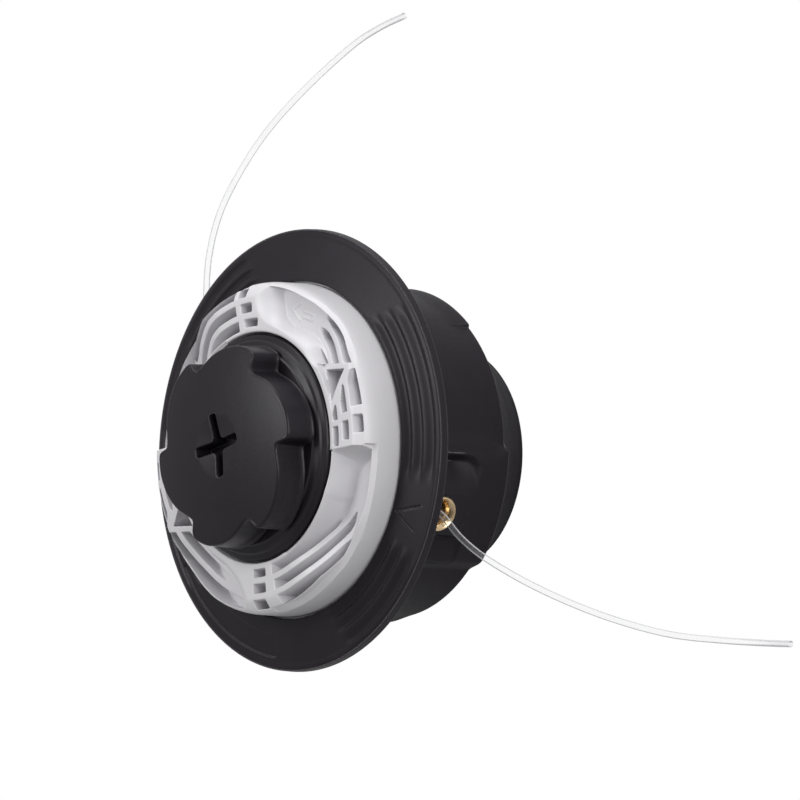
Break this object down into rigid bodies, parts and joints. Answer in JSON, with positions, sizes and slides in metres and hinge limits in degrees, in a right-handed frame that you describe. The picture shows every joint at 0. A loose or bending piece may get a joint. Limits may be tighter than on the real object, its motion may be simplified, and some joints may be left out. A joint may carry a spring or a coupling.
{
  "type": "trimmer head",
  "caption": "Tap-feed trimmer head: drum housing, wide skid flange, white winding ring, lobed tap knob and a line tail from each eyelet.",
  "frame": {"origin": "centre of the hub's back face, where the head stands and where the gearbox shaft enters", "axes": "+Z along the turning axis, out through the tap knob; the two line eyelets lie on +X and -X"},
  "size_m": [0.2744, 0.1818, 0.0912],
  "materials": {
    "black_nylon": "fine-grained moulded glass-filled nylon",
    "knob_black": "satin moulded nylon",
    "dark_nylon": "moulded nylon",
    "grey_acetal": "smooth moulded acetal",
    "white_nylon": "satin light-grey moulded plastic",
    "steel": "turned zinc-plated steel",
    "spring_steel": "oiled spring wire",
    "brass": "turned brass, slightly dull",
    "line": "clear extruded nylon line"
  },
  "bodies": {
    "housing": {"housing": "black_nylon", "drive_nut": "steel", "eyelet_a": "brass", "eyelet_b": "brass", "index_ring": "grey_acetal", "spindle": "steel", "spring_seat": "steel", "return_spring": "spring_steel", "skid_flange": "black_nylon", "line_tail_a": "line", "line_tail_b": "line"},
    "spring_cup": {"spring_cup": "grey_acetal", "thrust_washer": "steel"},
    "spool": {"spool": "dark_nylon", "winding_ring": "white_nylon", "knob_collar": "black_nylon", "bump_knob": "knob_black", "knob_screws": "steel", "wound_line": "line"}
  },
  "joints": [
    {"name": "tap", "type": "slide", "parent": "housing", "child": "spring_cup", "axis": [0, 0, -1], "range_m": [0, 0.006], "stiffness_N_per_m": 2000, "springref_m": -0.005, "deforming": ["return_spring"]},
    {"name": "wind", "type": "hinge", "parent": "spring_cup", "child": "spool", "pos_m": [0, 0, 0.064], "axis": [0, 0, 1], "continuous": true}
  ]
}
